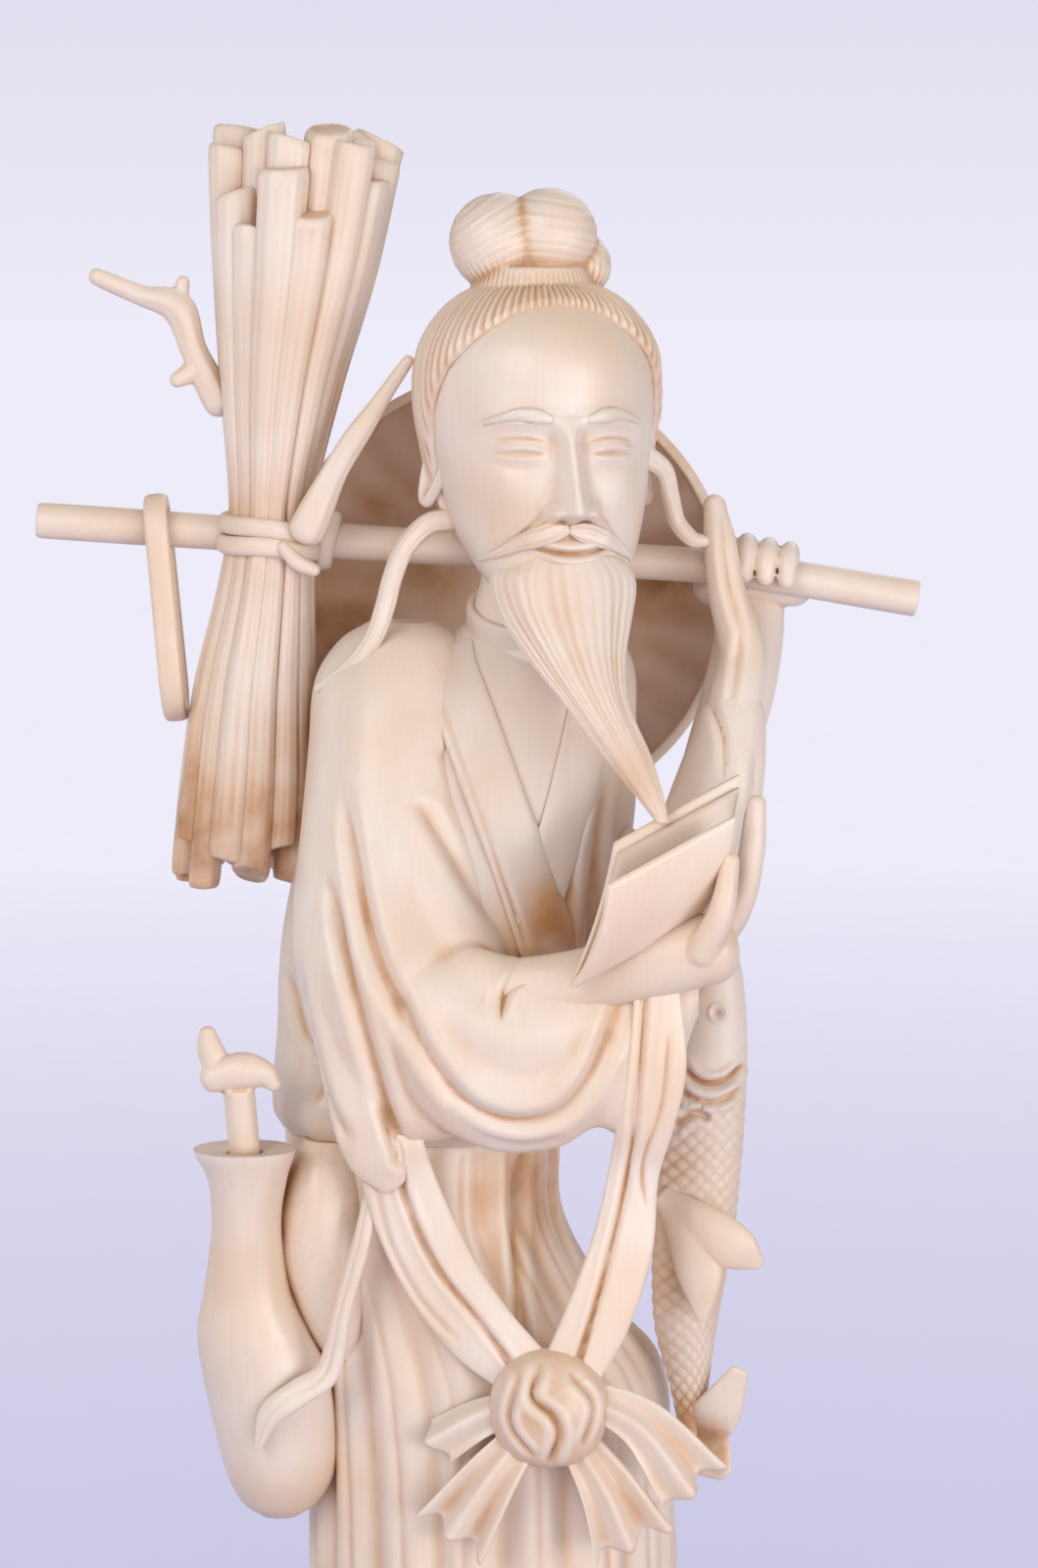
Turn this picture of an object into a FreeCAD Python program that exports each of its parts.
import FreeCAD, Part
import math
import os

# An okimono of an old woodcutter, carved in sections that are pegged and glued together.
# Millimetres. +X is to the right as the figure is seen from the front, -Y is the front and +Z is up.
# The origin is the middle of the base's underside.

Vector = FreeCAD.Vector
os.makedirs("parts", exist_ok=True)

# Driving sizes of the whole figure
base_height = 12.0
robe_height = 142.0
torso_height = 84.0
robe_half_width = 33.0
robe_half_depth = 26.0
torso_half_width = 27.5
torso_half_depth = 22.0
belt_z = base_height + robe_height
neck_z = belt_z + torso_height
figure_x = -4.0

# Clearances and joints between the sections
running_clearance = 0.1
stopper_clearance = 0.15
peg_radius = 1.5
peg_length = 14.0
overrun = 1.0

SIDE = Vector(1, 0, 0)
FRONT = Vector(0, -1, 0)
UP = Vector(0, 0, 1)


def smooth_rows(rows, steps):
    """The given rows with steps to each gap, on a Catmull-Rom curve through them."""
    last = len(rows) - 1
    result = []
    for i in range(last):
        four = rows[max(i - 1, 0)], rows[i], rows[i + 1], rows[min(i + 2, last)]
        for step in range(steps):
            u = step / steps
            result.append([
                0.5 * (2 * b + (c - a) * u + (2 * a - 5 * b + 4 * c - d) * u ** 2 + (3 * b - a - 3 * c + d) * u ** 3)
                for a, b, c, d in zip(*four)
            ])
    result.append(list(rows[last]))
    return result


def outline(centre, side, front, half_side, half_front, ripple, count, straight=False):
    """A closed curve round centre, smooth or straight-sided: an oval whose reach ripple changes with the angle."""
    points = []
    for i in range(count):
        angle = 2 * math.pi * i / count
        reach = ripple(angle) if ripple else 1
        across = side * (half_side * reach * math.cos(angle))
        forward = front * (half_front * reach * math.sin(angle))
        points.append(centre + across + forward)
    if straight:
        return Part.makePolygon(points + points[:1])
    curve = Part.BSplineCurve()
    curve.interpolate(Points=points, PeriodicFlag=True)
    return Part.Wire(curve.toShape())


def stack(foot, height, half_width, half_depth, rows, turn=0, lean=UP, ripple=None, count=12, steps=2, straight=False):
    """A loft of ovals, one above the other.

    A row holds the height share, the centre's shares of the half width and half depth, and the oval's own shares.
    """
    side = Vector(math.cos(turn), math.sin(turn), 0)
    front = Vector(math.sin(turn), -math.cos(turn), 0)
    wires = []
    for tall, across, forward, wide, deep in smooth_rows(rows, steps):
        centre = foot + lean * (tall * height) + side * (across * half_width) + front * (forward * half_depth)
        wires.append(outline(centre, side, front, wide * half_width, deep * half_depth, ripple, count, straight))
    return Part.makeLoft(wires, True, True)


def limb(points, radii, thin=1, facing=FRONT, count=10, steps=1, rounded=True):
    """A loft of many-sided ovals square to a path. thin is their thickness along facing, as a share of their width."""
    rows = smooth_rows([[p.x, p.y, p.z, r] for p, r in zip(points, radii)], steps)
    centres = [Vector(*row[:3]) for row in rows]
    reaches = [row[3] for row in rows]
    last = len(rows) - 1
    ways = [(centres[min(i + 1, last)] - centres[max(i - 1, 0)]).normalize() for i in range(last + 1)]
    if rounded:
        tip_share, tip_radius_share = 0.6, 0.55
        centres.insert(0, centres[0] - ways[0] * (reaches[0] * thin * tip_share))
        centres.append(centres[-1] + ways[-1] * (reaches[-1] * thin * tip_share))
        reaches = [reaches[0] * tip_radius_share] + reaches + [reaches[-1] * tip_radius_share]
        ways = [ways[0]] + ways + [ways[-1]]
    wires = []
    for centre, reach, way in zip(centres, reaches, ways):
        side = facing.cross(way).normalize()
        front = way.cross(side)
        wires.append(outline(centre, side, front, reach, reach * thin, None, count, True))
    return Part.makeLoft(wires, True, True)


def route(anchor, span, shares):
    """Points given as shares of a span from an anchor."""
    return [anchor + Vector(*share) * span for share in shares]


def seat(piece, *carriers):
    """The piece with its carriers' forms cut out, so that it lies on them face to face."""
    if carriers:
        piece = piece.cut(list(carriers))
    return max(piece.Solids, key=lambda solid: solid.Volume)


def joined(*pieces):
    """Overlapping forms that are carved as one."""
    whole = pieces[0].fuse(list(pieces[1:]))
    return max(whole.removeSplitter().Solids, key=lambda solid: solid.Volume)


def rod(start, end, radius):
    """A round rod between two points."""
    return Part.makeCylinder(radius, (end - start).Length, start, end - start)


def ring(centre, axis, ring_radius, radius, sides=10):
    """A round ring about an axis, with a many-sided section."""
    section = outline(Vector(ring_radius, 0, 0), SIDE, UP, radius, radius, None, sides, True)
    whole = Part.Face(section).revolve(Vector(0, 0, 0), UP, 360)
    whole.Placement = FreeCAD.Placement(centre, FreeCAD.Rotation(UP, axis))
    return whole


def round_about(centre, axis, start, reach, sweep, count):
    """Points on an arc about an axis, from the start direction on."""
    across = axis.cross(start)
    angles = [sweep * i / (count - 1) for i in range(count)]
    return [centre + start * (reach * math.cos(a)) + across * (reach * math.sin(a)) for a in angles]


# Lower robe, from the hem to the belt, its left hip pushed out to the side
# Where the long folds dip, in degrees round the robe from its left side by way of the front
fold_places = [0, 20, 42, 64, 86, 109, 130, 152, 173, 194, 215, 236, 257, 278, 299, 320, 341]
fold_half_angle = math.radians(5.5)
fold_depth_share = 0.075
fold_points = 90
robe_rows = [
    (0.00, 0.02, 0.00, 1.00, 1.00),
    (0.25, 0.00, 0.00, 0.97, 0.97),
    (0.52, -0.01, 0.01, 0.94, 0.96),
    (0.69, -0.05, 0.01, 0.92, 0.92),
    (0.80, -0.20, 0.00, 0.77, 0.84),
    (0.90, -0.35, -0.02, 0.70, 0.78),
    (1.00, -0.36, -0.02, 0.70, 0.77),
]


def robe_ripple(angle):
    """Folds that run down the robe, each a soft dip at its place."""
    dips = 0
    for place in fold_places:
        away = (angle - math.radians(place) + math.pi) % (2 * math.pi) - math.pi
        dips += math.exp(-(away / fold_half_angle) ** 2)
    return 1 - fold_depth_share * dips


def make_robe(ripple, count):
    """The robe with the given folds. Without any it is the form that lies over the folds, on which others sit."""
    foot = Vector(figure_x, 0, base_height)
    return stack(foot, robe_height, robe_half_width, robe_half_depth, robe_rows, ripple=ripple, count=count)


# Torso, from the blouse over the belt to the neck
torso_rows = [
    (0.00, -0.42, 0.00, 0.86, 0.90),
    (0.05, -0.43, 0.00, 0.91, 0.98),
    (0.20, -0.36, 0.00, 0.95, 1.00),
    (0.38, -0.29, 0.00, 0.99, 1.00),
    (0.56, -0.17, 0.00, 1.00, 0.98),
    (0.70, -0.09, 0.00, 0.95, 0.93),
    (0.81, -0.01, 0.00, 0.86, 0.84),
    (0.90, 0.13, 0.00, 0.71, 0.72),
    (0.96, 0.22, 0.00, 0.54, 0.58),
    (1.00, 0.22, 0.02, 0.38, 0.46),
]


def make_torso():
    foot = Vector(figure_x, 0, belt_z)
    return stack(foot, torso_height, torso_half_width, torso_half_depth, torso_rows, count=14)


def torso_front(x, tall):
    """Y of the torso's front face at x, at a share of the torso's height."""
    rows = smooth_rows(torso_rows, 6)
    row = min(rows, key=lambda r: abs(r[0] - tall))
    across = (x - figure_x - row[1] * torso_half_width) / (row[3] * torso_half_width)
    return -row[4] * torso_half_depth * math.sqrt(max(0, 1 - across ** 2))


# Base, a low oval mound of rock that the robe and shoes stand on
base_half_width = 38.0
base_half_depth = 33.0
base_y = -3.0
base_rows = [
    (0.00, 0.00, 0.00, 0.97, 0.97),
    (0.12, 0.00, 0.00, 1.00, 1.00),
    (0.40, 0.00, 0.00, 1.00, 1.00),
    (0.75, 0.00, 0.00, 0.97, 0.96),
    (0.93, 0.00, 0.00, 0.94, 0.93),
    (1.00, 0.00, 0.00, 0.91, 0.89),
]
base_lobes = 7
base_lobe_share = 0.03


def base_ripple(angle):
    """Rounded rocks round the base's edge."""
    return 1 - base_lobe_share * abs(math.sin(base_lobes * angle / 2))


def make_base():
    foot = Vector(0, base_y, 0)
    return stack(foot, base_height, base_half_width, base_half_depth, base_rows, ripple=base_ripple, count=28)


# Shoes that look out from under the hem
shoe_length = 17.0
shoe_half_width = 5.2
shoe_height = 7.0
shoe_spacing = 19.0
shoe_reach = 6.5
shoe_rows = [(0.00, 0.88, 0.80), (0.35, 1.00, 1.00), (0.70, 0.82, 0.86), (0.92, 0.45, 0.60), (1.00, 0.15, 0.30)]


def make_shoe(side):
    heel = Vector(figure_x + side * shoe_spacing / 2, -robe_half_depth + shoe_length - shoe_reach, base_height)
    wires = []
    for tall, wide, long in smooth_rows(shoe_rows, 2):
        centre = heel + UP * (tall * shoe_height) + FRONT * (shoe_length / 2)
        wires.append(outline(centre, SIDE, FRONT, wide * shoe_half_width, long * shoe_length / 2, None, 12))
    return Part.makeLoft(wires, True, True)


# Head, turned a little to the figure's left, with hair combed back over the crown and ears at the sides
head_height = 53.0
head_half_width = 19.5
head_half_depth = 21.0
head_turn = math.radians(14)
head_x = 3.4
head_y = -4.5
head_sink = 2.0
head_z = neck_z + head_sink
head_rows = [
    (0.00, 0.06, 0.36, 0.30, 0.34),
    (0.07, 0.05, 0.34, 0.52, 0.52),
    (0.19, 0.04, 0.18, 0.71, 0.68),
    (0.34, 0.02, 0.06, 0.84, 0.83),
    (0.49, 0.00, 0.00, 0.91, 0.92),
    (0.66, -0.02, -0.02, 0.96, 0.95),
    (0.81, -0.02, -0.02, 0.90, 0.90),
    (0.93, -0.02, -0.03, 0.64, 0.66),
    (1.00, -0.02, -0.03, 0.24, 0.26),
]
hair_thickness = 1.1
hairline_tilt = math.radians(38)
hairline_share = 0.66
neck_radius = 8.6
nose_length = 13.0
nose_half_width = 3.4
nose_width_shares = (0.5, 0.85, 1.0)
# The bridge starts between the brows and the tip stands clear of the lip
nose_top_share = 0.52
nose_fall_share = 0.8
bridge_share = 0.80
tip_share = 1.04
nose_foot_share = 0.84
ear_height = 11.0
ear_half_width = 2.0
ear_share = 0.42
ear_side_share = 0.86
ear_width_shares = (0.8, 1.1, 1.3)
ear_depth_share = 1.4


def make_head():
    foot = Vector(head_x, head_y, head_z)
    face = stack(foot, head_height, head_half_width, head_half_depth, head_rows, turn=head_turn, count=14)
    wide = 1 + hair_thickness / head_half_width
    hair = stack(foot, head_height * (1 + hair_thickness / head_height), head_half_width * wide,
                 head_half_depth * wide, head_rows, turn=head_turn, count=14)
    block = Part.makeBox(head_height * 2, head_height * 2, head_height * 2)
    block.translate(Vector(-head_height, -head_height, -head_height * 2))
    block.rotate(Vector(0, 0, 0), SIDE, -math.degrees(hairline_tilt))
    block.rotate(Vector(0, 0, 0), UP, math.degrees(head_turn))
    block.translate(foot + UP * (head_height * hairline_share))
    hair = hair.cut(block)
    neck = rod(Vector(head_x, head_y, neck_z), foot + UP * (head_height * head_rows[3][0]), neck_radius)
    forward = Vector(math.sin(head_turn), -math.cos(head_turn), 0)
    across = Vector(math.cos(head_turn), math.sin(head_turn), 0)
    brow = foot + UP * (head_height * nose_top_share)
    nose_top = brow + forward * (head_half_depth * bridge_share)
    nose_tip = brow - UP * (nose_length * nose_fall_share) + forward * (head_half_depth * tip_share)
    nose_foot = brow - UP * nose_length + forward * (head_half_depth * nose_foot_share)
    nose = limb([nose_top, nose_tip, nose_foot], [nose_half_width * s for s in nose_width_shares], facing=forward, steps=3)
    ears = []
    for side in (-1, 1):
        middle = foot + UP * (head_height * ear_share) + across * (side * head_half_width * ear_side_share)
        ears.append(limb([middle - UP * (ear_height / 2), middle, middle + UP * (ear_height / 2)],
                         [ear_half_width * s for s in ear_width_shares], thin=ear_depth_share, facing=forward, steps=2))
    return joined(face, hair, neck, nose, *ears)


# Hair knot on the crown: two front lobes and a smaller one behind, on a round foot
knot_lobe_radius = 7.0
knot_foot_radius = 10.5
knot_foot_height = 4.5
knot_foot_rows = [(0, 0, 0, 1, 1), (0.5, 0, 0, 1, 1), (1, 0, 0, 0.86, 0.86)]
knot_lobe_shares = [(-0.98, 0.10, 1.00, 0.95), (0.22, 0.05, 1.10, 1.0), (1.06, -0.50, 0.72, 0.72)]


def make_topknot(head):
    foot = Vector(head_x - hair_thickness, head_y, head_z + head_height - knot_foot_height / 2)
    piece = stack(foot - UP * knot_foot_height, knot_foot_height * 2, knot_foot_radius, knot_foot_radius, knot_foot_rows)
    for across, forward, tall, size in knot_lobe_shares:
        centre = foot + Vector(across, -forward, tall) * knot_lobe_radius
        piece = piece.fuse(Part.makeSphere(knot_lobe_radius * size, centre))
    return seat(piece.removeSplitter(), head)


# Beard, from the chin to a fine tip that reaches the book
beard_length = 41.0
beard_half_width = 12.5
beard_half_depth = 9.0
# Where its top's middle is: shares of the head's half width across, and of its half depth forward and up
beard_place_shares = (0.26, 0.5, 0.45)
beard_rows = [
    (0.00, 1.12, 2.10, 0.08, 0.09),
    (0.09, 0.98, 2.02, 0.17, 0.15),
    (0.25, 0.68, 1.80, 0.31, 0.26),
    (0.44, 0.30, 1.42, 0.42, 0.38),
    (0.60, 0.06, 0.98, 0.60, 0.56),
    (0.80, -0.10, 0.45, 0.90, 0.86),
    (0.93, -0.12, 0.20, 0.98, 1.00),
    (1.00, -0.12, 0.14, 0.86, 0.92),
]


def make_beard(*carriers):
    across, forward, tall = beard_place_shares
    top = Vector(head_half_width * across, -head_half_depth * forward, head_half_depth * tall)
    foot = Vector(head_x, head_y, head_z - beard_length) + top
    beard = stack(foot, beard_length, beard_half_width, beard_half_depth, beard_rows)
    return seat(beard, *carriers)


# Locks of hair that fall free from the temples, one to the shoulder and one to the raised hand
lock_span = 40.0
lock_radius = 1.9
# Roots as shares of the head's half width, half depth and height
left_root_shares = (-0.75, 0.10, 0.28)
right_root_shares = (0.84, 0.05, 0.48)
left_lock_width_shares = (1.0, 1.0, 0.9, 0.85, 0.85, 0.8, 0.75, 0.5)
right_lock_width_shares = (1.0, 0.9, 0.8, 0.75, 0.7, 0.6)
left_lock_shares = [
    (0.00, 0.00, 0.00), (-0.09, -0.03, -0.02), (-0.18, -0.07, -0.11), (-0.23, -0.12, -0.23),
    (-0.26, -0.15, -0.35), (-0.31, -0.16, -0.48), (-0.40, -0.14, -0.59), (-0.53, -0.08, -0.68),
]
right_lock_shares = [
    (0.00, 0.00, 0.00), (0.09, 0.05, -0.07), (0.12, 0.09, -0.17), (0.15, 0.12, -0.28),
    (0.21, 0.12, -0.35), (0.26, 0.12, -0.36),
]


def make_lock(root_shares, shares, width_shares, *carriers):
    across, forward, tall = root_shares
    root = Vector(head_half_width * across, -head_half_depth * forward, head_height * tall)
    path = route(Vector(head_x, head_y, head_z) + root, lock_span, shares)
    return seat(limb(path, [lock_radius * s for s in width_shares]), *carriers)


def make_locks(head, shoulder, hand):
    left = make_lock(left_root_shares, left_lock_shares, left_lock_width_shares, head, shoulder)
    right = make_lock(right_root_shares, right_lock_shares, right_lock_width_shares, head, hand)
    return left, right


# Collar: a band that crosses the chest on each side, and a ring that stands round the neck
collar_half_width = 3.6
collar_thickness = 1.3
collar_ring_height = 7.0
collar_ring_drop = 3.0
collar_ring_radius = 12.0
collar_ring_wall = 1.6
collar_ring_set_share = 0.3
collar_ring_tilt = math.radians(20)
band_start_share = 0.13
# Shares of the torso's half width and of its height
collar_left_shares = [(0.36, 0.38), (0.20, 0.54), (0.02, 0.70), (-0.14, 0.84), (-0.24, 0.96), (-0.26, 1.04)]
collar_right_shares = [(0.30, 0.52), (0.44, 0.66), (0.56, 0.82), (0.60, 0.96), (0.56, 1.04)]


def chest_band(shares):
    """A band as wide as the collar, cut straight back through the chest."""
    rows = smooth_rows(shares, 3)
    start = -torso_half_depth * band_start_share
    middle = [Vector(figure_x + x * torso_half_width, start, belt_z + z * torso_height) for x, z in rows]
    last = len(middle) - 1
    sides = [(middle[min(i + 1, last)] - middle[max(i - 1, 0)]).normalize().cross(FRONT) for i in range(last + 1)]
    over = [m + s * collar_half_width for m, s in zip(middle, sides)]
    under = [m - s * collar_half_width for m, s in zip(middle, sides)]
    edge = over + under[::-1]
    return Part.Face(Part.makePolygon(edge + edge[:1])).extrude(FRONT * (torso_half_depth * 2))


def make_collar(*carriers):
    foot = Vector(figure_x, 0, belt_z)
    grow = 1 + collar_thickness / torso_half_width
    shell = stack(foot, torso_height, torso_half_width * grow, torso_half_depth * grow, torso_rows, count=14)
    bands = [shell.common(chest_band(shares)) for shares in (collar_left_shares, collar_right_shares)]
    middle = Vector(head_x, head_y + neck_radius * collar_ring_set_share, neck_z - collar_ring_drop)
    # The ring stands higher at the nape than at the throat
    way = Vector(0, -math.sin(collar_ring_tilt), math.cos(collar_ring_tilt))
    ring = Part.makeCylinder(collar_ring_radius, collar_ring_height, middle, way)
    ring = ring.cut(Part.makeCylinder(collar_ring_radius - collar_ring_wall, collar_ring_height, middle, way))
    pieces = [max(band.Solids, key=lambda solid: solid.Volume) for band in bands]
    return seat(joined(ring, *pieces), *carriers)


# Right sleeve, seen on the left: the upper arm, and a bag that hangs in a U under the forearm
sleeve_height = 82.0
sleeve_half_width = 15.0
sleeve_half_depth = 17.0
sleeve_side_share = 0.58
sleeve_x = figure_x - torso_half_width * sleeve_side_share
sleeve_rows = [
    (0.00, 0.31, 1.38, 0.60, 0.28),
    (0.10, 0.27, 1.28, 0.98, 0.52),
    (0.22, 0.20, 1.14, 1.12, 0.78),
    (0.34, 0.07, 0.98, 1.15, 0.92),
    (0.46, 0.02, 0.78, 1.12, 0.96),
    (0.60, -0.03, 0.56, 1.00, 1.00),
    (0.75, -0.04, 0.34, 0.92, 1.02),
    (0.88, -0.02, 0.16, 0.88, 0.94),
    (0.96, 0.04, 0.10, 0.68, 0.70),
    (1.00, 0.06, 0.10, 0.36, 0.36),
]
bag_width = 50.0
bag_drop = 31.0
bag_half_depth = 8.0
bag_y = -27.0
bag_start_share = 0.10
bag_sag_share = 0.04
# Share of the width, then shares of the drop to the lower and upper edge, then share of the half depth
bag_rows = [
    (0.00, 0.42, 0.98, 0.55),
    (0.12, 0.20, 1.05, 0.95),
    (0.25, 0.07, 1.08, 1.00),
    (0.40, 0.00, 1.02, 1.00),
    (0.56, 0.03, 0.99, 0.90),
    (0.68, 0.13, 1.00, 0.72),
    (0.80, 0.06, 1.00, 0.55),
    (0.90, 0.28, 1.00, 0.45),
    (1.00, 0.72, 0.98, 0.26),
]


def make_sleeve_right(*carriers):
    foot = Vector(sleeve_x, 0, neck_z - sleeve_height)
    arm = stack(foot, sleeve_height, sleeve_half_width, sleeve_half_depth, sleeve_rows, steps=2)
    left = sleeve_x - sleeve_half_width * bag_start_share
    low = foot.z - bag_drop * bag_sag_share
    wires = []
    for wide, under, over, deep in smooth_rows(bag_rows, 2):
        centre = Vector(left + wide * bag_width, bag_y, low + bag_drop * (under + over) / 2)
        wires.append(outline(centre, UP, FRONT, bag_drop * (over - under) / 2, deep * bag_half_depth, None, 12))
    return seat(joined(arm, Part.makeLoft(wires, True, True)), *carriers)


# Left sleeve, seen on the right: an upper arm by the ribs, and an open cuff that stands round the raised forearm
cuff_height = 50.0
cuff_half_width = 8.8
cuff_half_depth = 8.0
elbow_x = 28.0
elbow_y = -6.0
elbow_z = 192.0
cuff_rows = [
    (0.00, -0.30, 0.40, 0.30, 0.40),
    (0.12, -0.15, 0.35, 0.65, 0.72),
    (0.30, 0.02, 0.20, 0.95, 0.98),
    (0.48, 0.20, 0.10, 1.00, 1.00),
    (0.66, 0.44, -0.05, 0.88, 0.90),
    (0.84, 0.68, -0.25, 0.72, 0.80),
    (1.00, 0.80, -0.35, 0.56, 0.70),
]
cuff_drop_share = 0.32
upper_arm_radius = 7.0
upper_arm_width_shares = (0.9, 0.9, 1.0, 1.0)
upper_arm_shares = [(-0.92, 0.36, 1.05), (-0.80, 0.26, 0.62), (-0.58, 0.10, 0.28), (-0.10, 0.00, 0.08)]


def make_sleeve_left(*carriers):
    elbow = Vector(elbow_x, elbow_y, elbow_z)
    cuff = stack(elbow - UP * (cuff_height * cuff_drop_share), cuff_height, cuff_half_width, cuff_half_depth, cuff_rows)
    arm = limb(route(elbow, elbow_x - head_x, upper_arm_shares), [upper_arm_radius * s for s in upper_arm_width_shares])
    return seat(joined(cuff, arm), *carriers)


# Carrying pole, in two lengths that meet on a peg inside the raised hand
pole_radius = 3.0
pole_y = 8.0
pole_joint_x = 35.0
pole_joint_z = 246.2
long_pole_length = 115.0
short_pole_length = 31.5
long_pole_slope = math.radians(3.9)
short_pole_slope = math.radians(9.5)
pole_way = Vector(-math.cos(long_pole_slope), 0, math.sin(long_pole_slope))
pole_joint = Vector(pole_joint_x, pole_y, pole_joint_z)


def on_pole(x):
    """The point of the long pole's axis at x."""
    return pole_joint + pole_way * ((pole_joint_x - x) / math.cos(long_pole_slope))


def make_poles():
    way = Vector(math.cos(short_pole_slope), 0, -math.sin(short_pole_slope))
    # Both lengths are cut on the plane that halves the bend
    seam = (way - pole_way).normalize()
    wedge = pole_radius * 2
    block = Part.makeBox(wedge * 2, wedge * 2, wedge * 2, Vector(-wedge, -wedge, 0))
    block.Placement = FreeCAD.Placement(pole_joint, FreeCAD.Rotation(UP, seam))
    other = Part.makeBox(wedge * 2, wedge * 2, wedge * 2, Vector(-wedge, -wedge, -wedge * 2))
    other.Placement = FreeCAD.Placement(pole_joint, FreeCAD.Rotation(UP, seam))
    long_pole = rod(pole_joint - pole_way * pole_radius, pole_joint + pole_way * long_pole_length, pole_radius)
    short_pole = rod(pole_joint - way * pole_radius, pole_joint + way * short_pole_length, pole_radius)
    peg = rod(pole_joint + pole_way * (peg_length / 2), pole_joint + way * (peg_length / 2), peg_radius)
    return seat(long_pole, block, peg), seat(short_pole, other, peg), peg


# Raised hand, with the palm behind the pole, the thumb in front and four fingers over the top
forearm_radius = 5.8
finger_radius = 1.75
finger_spacing = 3.6
finger_step_share = 0.12
finger_shift_share = 0.35
finger_seat_share = 0.9
finger_start = math.radians(40)
finger_sweep = math.radians(225)
finger_joints = 8
hand_drop = 42.0
forearm_shares = [(-0.16, -0.30, -1.10), (-0.05, -0.16, -0.75), (0.04, -0.05, -0.45), (0.09, 0.12, -0.18), (0.07, 0.13, 0.02)]
forearm_width_shares = (0.95, 1.0, 1.02, 0.95, 0.72)
forearm_thin_share = 0.82
thumb_shares = [(0.05, -0.16, -0.32), (-0.02, -0.20, -0.10), (-0.05, -0.17, 0.10), (-0.07, -0.13, 0.25)]
thumb_width_shares = (0.62, 0.52, 0.46, 0.34)
# The palm's two ends along the pole and how far they hang below its axis, then its thickness at each
palm_along_shares = (-0.6, 3.0)
palm_drop_shares = (1.0, 1.2)
palm_width_shares = (2.2, 1.8)


def make_hand_left(*carriers):
    grip = pole_joint
    arm = limb(route(grip, hand_drop, forearm_shares), [forearm_radius * s for s in forearm_width_shares],
               thin=forearm_thin_share, count=12)
    thumb = limb(route(grip, hand_drop, thumb_shares), [forearm_radius * s for s in thumb_width_shares])
    fingers = []
    wrap = pole_radius + finger_radius * finger_seat_share
    away = Vector(math.cos(short_pole_slope), 0, -math.sin(short_pole_slope))
    start = Vector(0, math.cos(finger_start), -math.sin(finger_start))
    for i in range(4):
        middle = grip + away * (finger_spacing * (i - finger_shift_share))
        radius = finger_radius * (1 - finger_step_share * abs(i - 1) / 2)
        path = round_about(middle, away, start, wrap, finger_sweep, finger_joints)
        fingers.append(limb(path, [radius] * finger_joints, facing=away))
    palm_path = [grip + Vector(finger_spacing * along, wrap, -pole_radius * drop)
                 for along, drop in zip(palm_along_shares, palm_drop_shares)]
    palm = limb(palm_path, [finger_radius * s for s in palm_width_shares])
    return seat(joined(arm, thumb, palm, *fingers), *carriers)


# Firewood: one carved block of sticks, pinched where the cord ties it to the pole
bundle_height = 126.0
bundle_half_width = 16.0
bundle_half_depth = 12.5
bundle_x = -41.0
bundle_y = 5.5
tie_share = 0.46
stick_count = 11
stick_groove_share = 0.13
slit_depth = 11.0
core_radius = 3.0
slit_half_angle = math.radians(3.5)
bundle_rows = [
    (0.00, -0.32, 0.00, 0.73, 0.80),
    (0.13, -0.24, 0.00, 0.70, 0.76),
    (0.26, -0.17, 0.00, 0.62, 0.68),
    (0.38, -0.06, 0.00, 0.50, 0.56),
    (0.46, 0.00, 0.00, 0.44, 0.54),
    (0.52, 0.02, 0.00, 0.44, 0.54),
    (0.66, 0.12, 0.00, 0.62, 0.68),
    (0.82, 0.28, 0.00, 0.84, 0.86),
    (1.00, 0.42, 0.00, 1.00, 1.00),
]
top_end_shares = [0.050, 0.030, 0.010, 0.045, 0.002, 0.030, 0.005, 0.050, 0.020, 0.040, 0.065]
low_end_shares = [0.020, 0.002, 0.030, 0.010, 0.035, 0.015, 0.003, 0.025, 0.010, 0.030, 0.004]


def stick_ripple(angle):
    """Round sticks side by side, with grooves between them."""
    return 1 - stick_groove_share * (1 - abs(math.cos(stick_count * angle / 2)))


def sector(centre, half_angle, angle, start, reach, low, high):
    """An upright wedge between two heights and two distances from the axis through centre."""
    edges = [Vector(math.cos(a), -math.sin(a), 0) for a in (angle - half_angle, angle + half_angle)]
    corners = [edges[0] * start, edges[0] * reach, edges[1] * reach, edges[1] * start]
    wedge = Part.Face(Part.makePolygon(corners + corners[:1])).extrude(UP * (high - low))
    wedge.translate(Vector(centre.x, centre.y, low))
    return wedge


def make_bundle(*carriers):
    low = on_pole(bundle_x).z - bundle_height * tie_share
    block = stack(Vector(bundle_x, bundle_y, low), bundle_height, bundle_half_width, bundle_half_depth, bundle_rows,
                  ripple=stick_ripple, count=stick_count * 4, steps=1, straight=True)
    reach = bundle_half_width * 3
    step = 2 * math.pi / stick_count
    cuts = []
    for row, trims, way in ((bundle_rows[-1], top_end_shares, 1), (bundle_rows[0], low_end_shares, -1)):
        middle = Vector(bundle_x + row[1] * bundle_half_width, bundle_y, 0)
        end = low + row[0] * bundle_height
        for i in range(stick_count):
            for half_angle, angle, depth in (
                (step / 2 - slit_half_angle, i * step, trims[i] * bundle_height),
                (slit_half_angle, (i + 0.5) * step, slit_depth),
            ):
                first, second = end - way * depth, end + way * overrun
                heights = min(first, second), max(first, second)
                cuts.append(sector(middle, half_angle, angle, core_radius, reach, *heights))
    hole = rod(on_pole(bundle_x - reach), on_pole(bundle_x + reach), pole_radius)
    return seat(block, *cuts, hole, *carriers)


# Two turns of cord round the sticks, and a third that lashes them to the pole
cord_radius = 1.5
cord_turn_radius = 7.6
cord_spacing_share = 0.9
cord_tilt = math.radians(5)
lashing_share = 1.25


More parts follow.
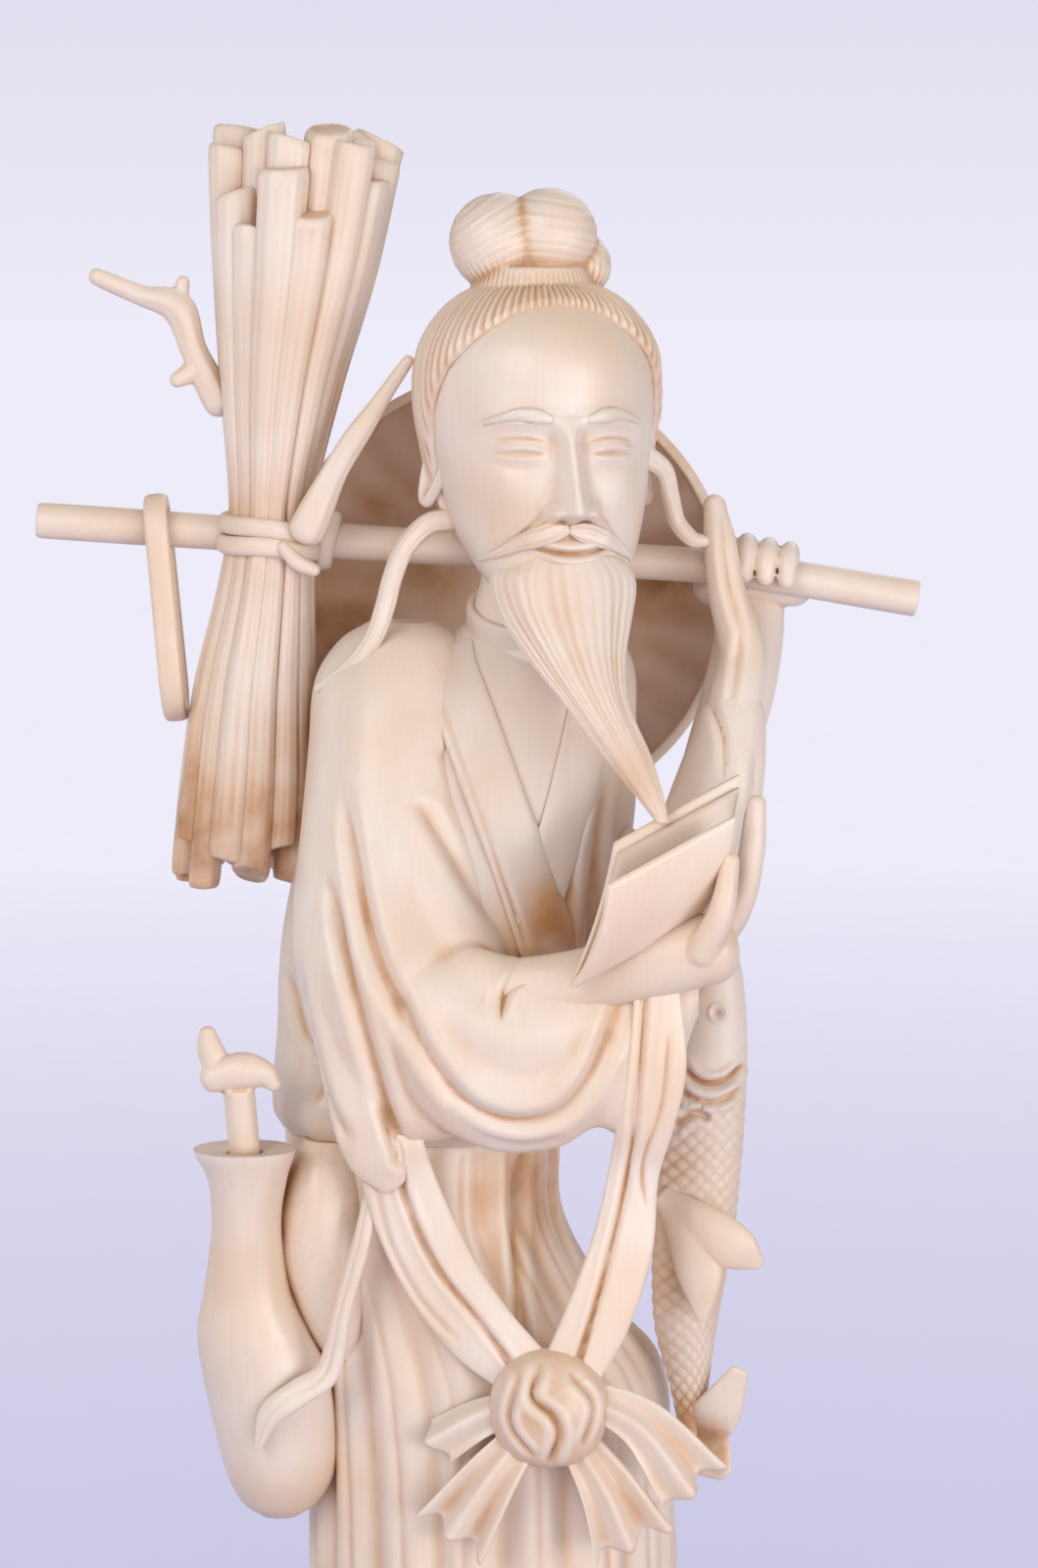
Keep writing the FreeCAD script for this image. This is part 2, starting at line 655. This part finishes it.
def make_binding(*carriers):
    middle = Vector(bundle_x, bundle_y, on_pole(bundle_x).z)
    tilt = Vector(math.sin(cord_tilt), 0, math.cos(cord_tilt))
    turns = [ring(middle + tilt * (side * cord_radius * cord_spacing_share), tilt, cord_turn_radius, cord_radius)
             for side in (-1, 1)]
    lashing = ring(on_pole(bundle_x + cord_turn_radius * lashing_share), pole_way, pole_radius + cord_radius / 2,
                   cord_radius)
    return seat(joined(*turns, lashing), *carriers)


# Loose branches pushed into the bundle
twig_span = 30.0
twig_radius = 2.2
left_twig_width_shares = (0.62, 0.72, 0.95, 0.9, 1.0)
left_fork_width_shares = (0.7, 0.4)
left_stub_width_shares = (0.8, 0.5)
right_twig_width_shares = (0.45, 0.7, 1.0, 1.35)
right_twig_thin_share = 0.8
left_side_share = 0.56
left_rise_share = 0.76
right_side_share = 0.40
right_front_share = 0.5
left_twig_shares = [(-0.64, 0.00, 0.66), (-0.40, 0.00, 0.56), (-0.20, 0.00, 0.49), (-0.11, 0.00, 0.25), (0.02, 0.00, -0.02)]
left_fork_shares = [(-0.20, 0.00, 0.46), (-0.17, 0.00, 0.62)]
left_stub_shares = [(-0.09, 0.00, 0.16), (-0.19, -0.04, 0.10)]
right_twig_shares = [(0.56, -0.14, 0.92), (0.38, -0.12, 0.66), (0.18, -0.10, 0.36), (0.00, -0.06, 0.00)]


def make_twigs(*carriers):
    tie = on_pole(bundle_x)
    left_root = Vector(bundle_x - bundle_half_width * left_side_share, bundle_y, tie.z + twig_span * left_rise_share)
    left = joined(
        limb(route(left_root, twig_span, left_twig_shares), [twig_radius * s for s in left_twig_width_shares]),
        limb(route(left_root, twig_span, left_fork_shares), [twig_radius * s for s in left_fork_width_shares]),
        limb(route(left_root, twig_span, left_stub_shares), [twig_radius * s for s in left_stub_width_shares]),
    )
    right_root = Vector(bundle_x + bundle_half_width * right_side_share, bundle_y - bundle_half_depth * right_front_share,
                        tie.z + cord_radius)
    right = limb(route(right_root, twig_span, right_twig_shares), [twig_radius * s for s in right_twig_width_shares],
                 thin=right_twig_thin_share)
    return seat(left, *carriers), seat(right, *carriers)


# A long link that hangs on the pole and swings
link_x = -59.6
link_height = 38.0
link_width = 3.9
link_wall = 2.4
link_lean = math.radians(9)
link_foot_radius = 4.6
link_bore = (pole_radius + link_width / 2 * math.sin(link_lean)) / math.cos(link_lean) + running_clearance


def link_face(grow):
    """A long round-ended outline, narrower at the top, where it fits the pole."""
    top, foot = link_bore + grow, link_foot_radius + grow
    drop = link_height - link_bore - 2 * link_wall - link_foot_radius
    slope = math.asin((foot - top) / drop)
    cos, sin = math.cos(slope), math.sin(slope)
    points = [
        Vector(0, top * cos, top * sin), Vector(0, 0, top), Vector(0, -top * cos, top * sin),
        Vector(0, -foot * cos, foot * sin - drop), Vector(0, 0, -foot - drop), Vector(0, foot * cos, foot * sin - drop),
    ]
    edges = [
        Part.Arc(*points[:3]).toShape(), Part.makeLine(points[2], points[3]),
        Part.Arc(*points[3:]).toShape(), Part.makeLine(points[5], points[0]),
    ]
    return Part.Face(Part.Wire(edges))


def make_link():
    frame = link_face(link_wall).cut(link_face(0))
    solid = frame.extrude(SIDE * link_width)
    solid.translate(SIDE * (-link_width / 2))
    solid.rotate(Vector(0, 0, 0), Vector(0, 1, 0), math.degrees(long_pole_slope - link_lean))
    solid.translate(on_pole(link_x))
    return solid


# Straw hat that hangs behind the shoulders on a peg
hat_radius = 38.0
hat_rise = 15.0
hat_wall = 1.8
hat_x = -2.2
hat_y = 21.0
hat_rise_over_neck = 2.8
hat_z = neck_z + hat_rise_over_neck
hat_tilt = math.radians(-3)
hat_rings = 7
hat_fullness = 1.3
hat_peg_drop = 14.0


def make_hat_peg(hat):
    middle = Vector(hat_x, hat_y + hat_rise, hat_z - hat_peg_drop)
    peg = rod(middle - Vector(0, peg_length, 0), middle + Vector(0, hat_rise, 0), peg_radius).cut(hat)
    return min(peg.Solids, key=lambda solid: solid.BoundBox.YMin)


def make_hat(*carriers):
    def dome(radius, rise):
        angles = [math.pi / 2 * i / hat_rings for i in range(hat_rings + 1)]
        return [Vector(radius * math.sin(a), rise * math.cos(a) ** hat_fullness, 0) for a in angles]

    profile = dome(hat_radius, hat_rise) + dome(hat_radius - hat_wall, hat_rise - hat_wall)[::-1]
    hat = Part.Face(Part.makePolygon(profile + profile[:1])).revolve(Vector(0, 0, 0), Vector(0, 1, 0), 360)
    hat.rotate(Vector(0, 0, 0), SIDE, math.degrees(hat_tilt))
    hat.translate(Vector(hat_x, hat_y, hat_z))
    return seat(hat, *carriers)


# Open book, held up in the right hand: two curved covers that part upwards, and the pages on the far one
book_length = 23.5
cover_thickness = 1.2
page_thickness = 1.6
book_bulge = 1.8
book_x = 8.7
book_y = -38.0
book_z = 182.8
# Ways along the spine, up the near cover and up the far one, in shares of the book's length
spine_shares = (0.84, 0.34, 0.42)
near_shares = (0.23, -0.34, 0.72)
far_shares = (0.30, 0.08, 0.96)
page_height_share = 0.93
page_length_share = 0.96


def book_sheet(rise_shares, start, thickness, bulge, length_share=1, height_share=1):
    """A curved plate that rises from the spine, its outer face start in front of the plane through the spine."""
    spine = Vector(*spine_shares) * book_length
    rise = Vector(*rise_shares) * book_length
    out = spine.cross(rise).normalize()
    corner = Vector(book_x, book_y, book_z) + spine * ((1 - length_share) / 2)
    wires = []
    stations = 6
    for i in range(stations + 1):
        tall = height_share * i / stations
        low = corner + rise * tall + out * (start + bulge * math.sin(math.pi * tall))
        high = low + spine * length_share
        corners = [low, high, high - out * thickness, low - out * thickness]
        wires.append(Part.makePolygon(corners + corners[:1]))
    return Part.makeLoft(wires, True, True)


def make_book(*carriers):
    near = book_sheet(near_shares, 0, cover_thickness, book_bulge)
    far = book_sheet(far_shares, -cover_thickness, cover_thickness, book_bulge)
    pages = book_sheet(far_shares, page_thickness - cover_thickness, page_thickness, book_bulge, page_length_share,
                       page_height_share)
    near = seat(near, *carriers)
    far = seat(far, near, *carriers)
    return near, far, seat(pages, near, far, *carriers)


# Right hand that holds the book from below, with the fingers up its back
wrist_radius = 5.2
palm_span = 36.0
right_hand_x = -1.5
right_hand_y = -28.0
right_hand_z = 181.0
right_arm_shares = [(0.00, 0.00, 0.00), (0.30, -0.04, 0.05), (0.60, -0.06, 0.12), (0.88, -0.10, 0.20)]
right_finger_shares = [(0.84, -0.06, 0.18), (1.00, -0.08, 0.38), (1.06, -0.10, 0.62), (1.08, -0.12, 0.84)]
right_thumb_shares = [(0.84, -0.18, 0.20), (0.92, -0.24, 0.38), (0.96, -0.22, 0.60)]
right_arm_width_shares = (0.95, 0.95, 1.05, 1.1)
right_arm_thin_share = 0.8
right_finger_width_shares = (1.5, 1.3, 1.15, 0.9)
right_thumb_width_shares = (1.5, 1.2, 0.9)
# How far each next finger is behind and below the one before it, in finger radii
finger_row_shares = (1.8, 0.5)


def make_hand_right(*carriers):
    wrist = Vector(right_hand_x, right_hand_y, right_hand_z)
    arm = limb(route(wrist, palm_span, right_arm_shares), [wrist_radius * s for s in right_arm_width_shares],
               thin=right_arm_thin_share)
    behind, below = (finger_radius * s for s in finger_row_shares)
    fingers = [limb(route(wrist + Vector(0, behind, -below) * i, palm_span, right_finger_shares),
                    [finger_radius * s for s in right_finger_width_shares]) for i in range(4)]
    thumb = limb(route(wrist, palm_span, right_thumb_shares), [finger_radius * s for s in right_thumb_width_shares])
    return seat(joined(arm, thumb, *fingers), *carriers)


# Sash: two bands that come down in a V to a knot, with a pair of tails at each side
knot_radius = 9.6
knot_depth_share = 0.72
knot_sink_share = 0.08
knot_drop = 41.0
knot_x = 4.8
knot_z = belt_z - knot_drop
knot_y = -robe_half_depth - knot_radius * knot_sink_share
knot_rows = [
    (0.00, 0, 0, 0.30, 0.30), (0.12, 0, 0, 0.66, 0.64), (0.30, 0, 0, 0.92, 0.90), (0.50, 0, 0, 1.00, 1.00),
    (0.70, 0, 0, 0.92, 0.90), (0.88, 0, 0, 0.66, 0.64), (1.00, 0, 0, 0.30, 0.30),
]
band_half_width = 5.8
band_thickness = 3.0
band_span = 45.0
# The right band comes out under the sleeve, the left one from behind the book
band_shares = {
    "right": [(-0.57, 0.00, 1.00), (-0.54, 0.05, 0.83), (-0.48, 0.06, 0.66), (-0.38, 0.04, 0.46), (-0.25, 0.02, 0.28),
              (-0.08, 0.02, 0.12)],
    "left": [(0.38, -0.10, 1.52), (0.38, -0.10, 1.26), (0.34, -0.06, 1.04), (0.30, 0.02, 0.84), (0.26, 0.02, 0.58),
             (0.17, 0.00, 0.32), (0.06, 0.00, 0.10)],
}
band_width_shares = {
    "right": (0.85, 1.0, 1.05, 1.05, 1.0, 0.8),
    "left": (0.55, 0.75, 0.78, 0.85, 0.9, 0.9, 0.75),
}
tail_shares = {
    "right_upper": [(-0.10, 0.02, 0.00), (-0.24, 0.02, -0.05), (-0.38, 0.03, -0.12)],
    "right_lower": [(-0.06, 0.00, -0.08), (-0.22, -0.02, -0.22), (-0.36, 0.00, -0.42)],
    "left_upper": [(0.10, 0.02, 0.04), (0.34, -0.02, -0.06), (0.54, -0.02, -0.28)],
    "left_lower": [(0.08, 0.00, -0.08), (0.22, -0.02, -0.25), (0.34, 0.00, -0.46)],
}
sash_width_shares = {
    "right_upper": (0.55, 0.80, 0.85), "right_lower": (0.6, 1.0, 0.75),
    "left_upper": (0.6, 1.0, 0.8), "left_lower": (0.6, 1.1, 0.9),
}


def make_knot(*carriers):
    centre = Vector(knot_x, knot_y, knot_z)
    ball = stack(centre - UP * knot_radius, knot_radius * 2, knot_radius, knot_radius * knot_depth_share, knot_rows)
    return seat(ball, *carriers)


def make_band(name, *carriers):
    centre = Vector(knot_x, knot_y, knot_z)
    band = limb(route(centre, band_span, band_shares[name]), [band_half_width * s for s in band_width_shares[name]],
                thin=band_thickness / band_half_width / 2, rounded=False)
    return seat(band, *carriers)


def make_tail(name, *carriers):
    centre = Vector(knot_x, knot_y, knot_z)
    tail = limb(route(centre, band_span, tail_shares[name]),
                [band_half_width * s for s in sash_width_shares[name]], thin=band_thickness / band_half_width / 2)
    return seat(tail, *carriers)


# Flask at the right hip, its mouth leaning out to the front, with a twig for a stopper
flask_height = 65.0
flask_radius = 10.3
flask_depth_share = 0.95
flask_gap = 2.6
flask_rise_share = 0.555
flask_foot_x = figure_x - robe_half_width - flask_gap
flask_foot_y = -10.0
flask_foot_z = base_height + robe_height * flask_rise_share
flask_way = Vector(-0.075, -0.15, 1).normalize()
flask_rows = [
    (0.00, 0.02, 0.00, 0.30, 0.30),
    (0.04, 0.04, 0.00, 0.62, 0.62),
    (0.12, 0.10, 0.00, 0.88, 0.88),
    (0.24, 0.08, 0.00, 0.98, 0.98),
    (0.38, 0.00, 0.00, 1.00, 1.00),
    (0.50, -0.12, 0.00, 0.90, 0.90),
    (0.62, -0.16, 0.00, 0.68, 0.72),
    (0.78, -0.08, 0.00, 0.55, 0.62),
    (0.90, 0.00, 0.00, 0.62, 0.66),
    (0.97, 0.00, 0.00, 0.78, 0.78),
    (1.00, 0.00, 0.00, 0.80, 0.80),
]
stem_radius = 2.6
stem_depth = 9.0
stopper_height = 11.5
stem_share = 0.8
stopper_hook_shares = [(-0.35, 0, -0.05), (0.05, 0, 0.06), (0.36, 0, 0.00), (0.52, -0.02, -0.14)]
stopper_hook_width_shares = (0.9, 1.15, 0.9, 0.5)
stopper_hook_thin_share = 0.85
stopper_leaf_shares = [(-0.18, 0.05, -0.10), (-0.36, 0.05, 0.30), (-0.42, 0.05, 0.58)]
stopper_leaf_width_shares = (0.85, 0.85, 0.6)
stopper_leaf_thin_share = 0.8
mouth_dish = 1.0


def flask_axis():
    """The stopper's socket: the middle of the mouth."""
    return Vector(flask_foot_x, flask_foot_y, flask_foot_z) + flask_way * flask_height


def make_flask(*carriers):
    foot = Vector(flask_foot_x, flask_foot_y, flask_foot_z)
    flask = stack(foot, flask_height, flask_radius, flask_radius * flask_depth_share, flask_rows, lean=flask_way)
    mouth = flask_axis()
    socket = rod(mouth - flask_way * stem_depth, mouth + flask_way * (flask_radius + overrun), stem_radius + stopper_clearance)
    level = Part.makeBox(flask_radius * 4, flask_radius * 4, flask_radius * 2,
                         Vector(-flask_radius * 2, -flask_radius * 2, 0))
    level.Placement = FreeCAD.Placement(mouth - flask_way * mouth_dish, FreeCAD.Rotation(UP, flask_way))
    return seat(flask, level, socket, *carriers)


def make_stopper():
    mouth = flask_axis()
    seat_point = mouth - flask_way * (stem_depth - stopper_clearance)
    stem = rod(seat_point, mouth + flask_way * (stopper_height * stem_share), stem_radius)
    crown = mouth + flask_way * stopper_height
    hook = limb(route(crown, stopper_height, stopper_hook_shares), [stem_radius * s for s in stopper_hook_width_shares],
                thin=stopper_hook_thin_share)
    leaf = limb(route(crown, stopper_height, stopper_leaf_shares), [stem_radius * s for s in stopper_leaf_width_shares],
                thin=stopper_leaf_thin_share)
    return joined(stem, hook, leaf)


# Cord that comes down the robe and crosses the flask
strap_half_width = 2.2
strap_width_shares = (0.8, 0.9, 1.0, 1.0, 0.8)
strap_thin_share = 0.8
strap_foot_share = 0.36
strap_facing = Vector(-0.5, -1, 0).normalize()
strap_span = 32.0
strap_shares = [(0.50, -0.34, 0.80), (0.40, -0.33, 0.44), (0.33, -0.32, 0.10), (0.16, -0.35, 0.02), (0.00, -0.33, -0.12)]


def make_strap(*carriers):
    foot = Vector(flask_foot_x, flask_foot_y, flask_foot_z) + flask_way * (flask_height * strap_foot_share)
    strap = limb(route(foot, strap_span, strap_shares), [strap_half_width * s for s in strap_width_shares],
                 thin=strap_thin_share, facing=strap_facing)
    return seat(strap, *carriers)


# Pouch that bulges at the belt behind the flask
pouch_height = 36.0
pouch_half_width = 8.5
pouch_half_depth = 9.5
pouch_side_share = 0.84
pouch_front_share = 0.42
pouch_rows = [
    (0.00, 0.30, 0.20, 0.30, 0.30),
    (0.15, 0.20, 0.16, 0.62, 0.70),
    (0.40, 0.05, 0.08, 0.92, 0.94),
    (0.65, 0.00, 0.00, 1.00, 1.00),
    (0.88, 0.05, 0.00, 0.84, 0.84),
    (1.00, 0.10, 0.00, 0.50, 0.50),
]


def make_pouch(*carriers):
    foot = Vector(figure_x - robe_half_width * pouch_side_share, -robe_half_depth * pouch_front_share, belt_z - pouch_height)
    return seat(stack(foot, pouch_height, pouch_half_width, pouch_half_depth, pouch_rows), *carriers)


# Back fold of the robe that flares out behind the knot
flare_height = 30.0
flare_half_width = 8.5
flare_half_depth = 9.0
flare_side_share = 0.64
flare_back_share = 0.10
flare_drop_share = 0.72
flare_rows = [
    (0.00, -0.30, 0.00, 0.70, 0.70),
    (0.20, -0.12, 0.00, 0.92, 0.95),
    (0.50, 0.00, 0.00, 1.00, 1.00),
    (0.80, -0.10, 0.00, 0.84, 0.84),
    (1.00, -0.30, 0.00, 0.40, 0.40),
]


def make_flare(*carriers):
    foot = Vector(figure_x + robe_half_width * flare_side_share, robe_half_depth * flare_back_share,
                  knot_z - flare_height * flare_drop_share)
    return seat(stack(foot, flare_height, flare_half_width, flare_half_depth, flare_rows), *carriers)


# Carp that hangs head up from the left sleeve, with a forked tail and one spread fin
fish_length = 84.0
fish_half_width = 7.4
fish_half_depth = 5.4
fish_x = 29.4
fish_y = -8.0
fish_z = 103.0
fish_rows = [
    (0.00, -0.16, 0.00, 0.20, 0.30),
    (0.10, -0.18, 0.00, 0.42, 0.50),
    (0.24, -0.26, 0.00, 0.72, 0.72),
    (0.42, -0.10, 0.00, 0.92, 0.92),
    (0.62, 0.02, 0.00, 1.00, 1.00),
    (0.78, 0.24, 0.00, 0.84, 0.94),
    (0.90, 0.42, 0.00, 0.58, 0.74),
    (0.97, 0.50, 0.00, 0.34, 0.46),
    (1.00, 0.52, 0.00, 0.18, 0.26),
]
tail_span = 20.0
fish_tail_shares = [
    [(-0.05, 0.02, 0.06), (0.14, -0.12, 0.22), (0.34, -0.20, 0.62)],
    [(-0.05, 0.02, 0.06), (0.10, -0.14, -0.10), (0.22, -0.22, -0.24)],
]
tail_width_shares = (0.25, 0.55, 0.22)
fin_share = 0.40
fin_thin_share = 0.34
fin_width_shares = (0.25, 0.50, 0.60, 0.25)
fin_shares = [
    [(-0.30, -0.20, 0.40), (-0.10, -0.32, 0.16), (0.00, -0.38, -0.22), (-0.02, -0.40, -0.60)],
    [(-0.30, -0.20, 0.40), (-0.02, -0.34, 0.20), (0.30, -0.38, -0.02), (0.48, -0.38, -0.20)],
]


def make_fish(*carriers):
    foot = Vector(fish_x, fish_y, fish_z)
    return seat(stack(foot, fish_length, fish_half_width, fish_half_depth, fish_rows), *carriers)


def make_fan(anchor, lobes, width_shares, *carriers):
    """A forked fin from two flat tapering lobes that share a root."""
    pieces = [limb(route(anchor, tail_span, shares), [fish_half_width * s for s in width_shares], thin=fin_thin_share)
              for shares in lobes]
    return seat(joined(*pieces), *carriers)


# Pegs that hold the sections together, and the holes drilled for them
base_peg_share = 0.4
waist_peg_share = 0.36


def level_peg(point, way):
    """A peg whose middle is at point."""
    return rod(point - way * (peg_length / 2), point + way * (peg_length / 2), peg_radius)


def build():
    """Every piece of the carving, by its name."""
    base = make_base()
    robe = make_robe(None, 12)
    torso = make_torso()
    base_pegs = [level_peg(Vector(figure_x + side * robe_half_width * base_peg_share, 0, base_height), UP)
                 for side in (-1, 1)]
    waist_peg = level_peg(Vector(figure_x - robe_half_width * waist_peg_share, 0, belt_z), UP)
    neck_peg = level_peg(Vector(head_x, head_y, neck_z), UP)
    long_pole, short_pole, pole_peg = make_poles()
    hat = make_hat(torso)
    hat_peg = make_hat_peg(hat)
    torso = seat(torso, waist_peg, neck_peg, hat_peg)
    head = seat(make_head(), long_pole, neck_peg)
    collar = make_collar(torso, head, long_pole)
    sleeve_right = make_sleeve_right(torso, robe, collar)
    sleeve_left = make_sleeve_left(torso, collar, sleeve_right)
    hat = seat(hat, sleeve_left, sleeve_right, collar)
    hand_left = make_hand_left(long_pole, short_pole, sleeve_left, hat)
    hand_right = make_hand_right(sleeve_right, sleeve_left, torso)
    near_cover, far_cover, pages = make_book(hand_right, sleeve_left, torso)
    parts = {
        "base": seat(base, *base_pegs), "robe": seat(make_robe(robe_ripple, fold_points), waist_peg, *base_pegs),
        "torso": torso, "collar": collar, "head": head, "hat": hat,
        "sleeve_right": sleeve_right, "sleeve_left": sleeve_left, "hand_right": hand_right, "hand_left": hand_left,
        "shoe_right": seat(make_shoe(-1), robe), "shoe_left": seat(make_shoe(1), robe), "topknot": make_topknot(head),
        "book_near_cover": near_cover, "book_far_cover": far_cover, "book_pages": pages,
        "beard": make_beard(head, near_cover, far_cover, pages, collar, torso),
        "pole_long": long_pole, "pole_short": short_pole, "pole_peg": pole_peg, "hat_peg": hat_peg,
        "neck_peg": neck_peg, "waist_peg": waist_peg, "base_pegs": Part.makeCompound(base_pegs),
    }
    parts["lock_right"], parts["lock_left"] = make_locks(head, sleeve_right, hand_left)
    parts.update(build_load(long_pole, sleeve_right, torso))
    parts.update(build_sash(robe, torso, sleeve_right, sleeve_left, hand_right, near_cover, far_cover))
    parts.update(build_hip(parts, robe, torso, sleeve_right))
    parts.update(build_catch(parts, robe, sleeve_left, hand_right, sleeve_right))
    return parts


def build_load(long_pole, *carriers):
    """The firewood and what hangs on the pole."""
    firewood = make_bundle(*carriers)
    cord = make_binding(firewood, long_pole)
    twig_outer, twig_inner = make_twigs(firewood, cord, long_pole)
    return {"firewood": firewood, "binding_cord": cord, "twig_outer": twig_outer, "twig_inner": twig_inner,
            "hanging_link": make_link()}


def build_sash(robe, torso, *carriers):
    """The knot, and the bands and tails that run into it. The bands also lie on the other carriers."""
    knot = make_knot(robe)
    band_right = make_band("right", knot, carriers[0], robe, torso)
    band_left = make_band("left", knot, band_right, *carriers, robe, torso)
    parts = {"sash_knot": knot, "sash_band_right": band_right, "sash_band_left": band_left}
    for name in tail_shares:
        parts["sash_tail_" + name] = make_tail(name, robe, *parts.values())
    return parts


def build_hip(parts, robe, torso, sleeve_right):
    """The pouch and the flask at the right hip."""
    pouch = make_pouch(robe, torso, sleeve_right, parts["sash_band_right"])
    flask = make_flask(robe, torso, pouch)
    strap = make_strap(flask, robe, pouch, parts["sash_band_right"], torso)
    return {"pouch": pouch, "flask": flask, "flask_stopper": make_stopper(), "flask_strap": strap}


def build_catch(parts, robe, *carriers):
    """The fish at the left side, and the flare of the robe behind it."""
    flare = make_flare(robe)
    fish = make_fish(*carriers, parts["sash_band_left"], flare)
    foot = Vector(fish_x, fish_y, fish_z)
    tail = make_fan(foot, fish_tail_shares, tail_width_shares, fish, parts["sash_tail_left_upper"])
    fin = make_fan(foot + UP * (fish_length * fin_share), fin_shares, fin_width_shares, fish, parts["sash_band_left"])
    return {"robe_flare": flare, "fish": fish, "fish_tail": tail, "fish_fin": fin}


for node, shape in build().items():
    shape.exportStep("parts/" + node + ".step")
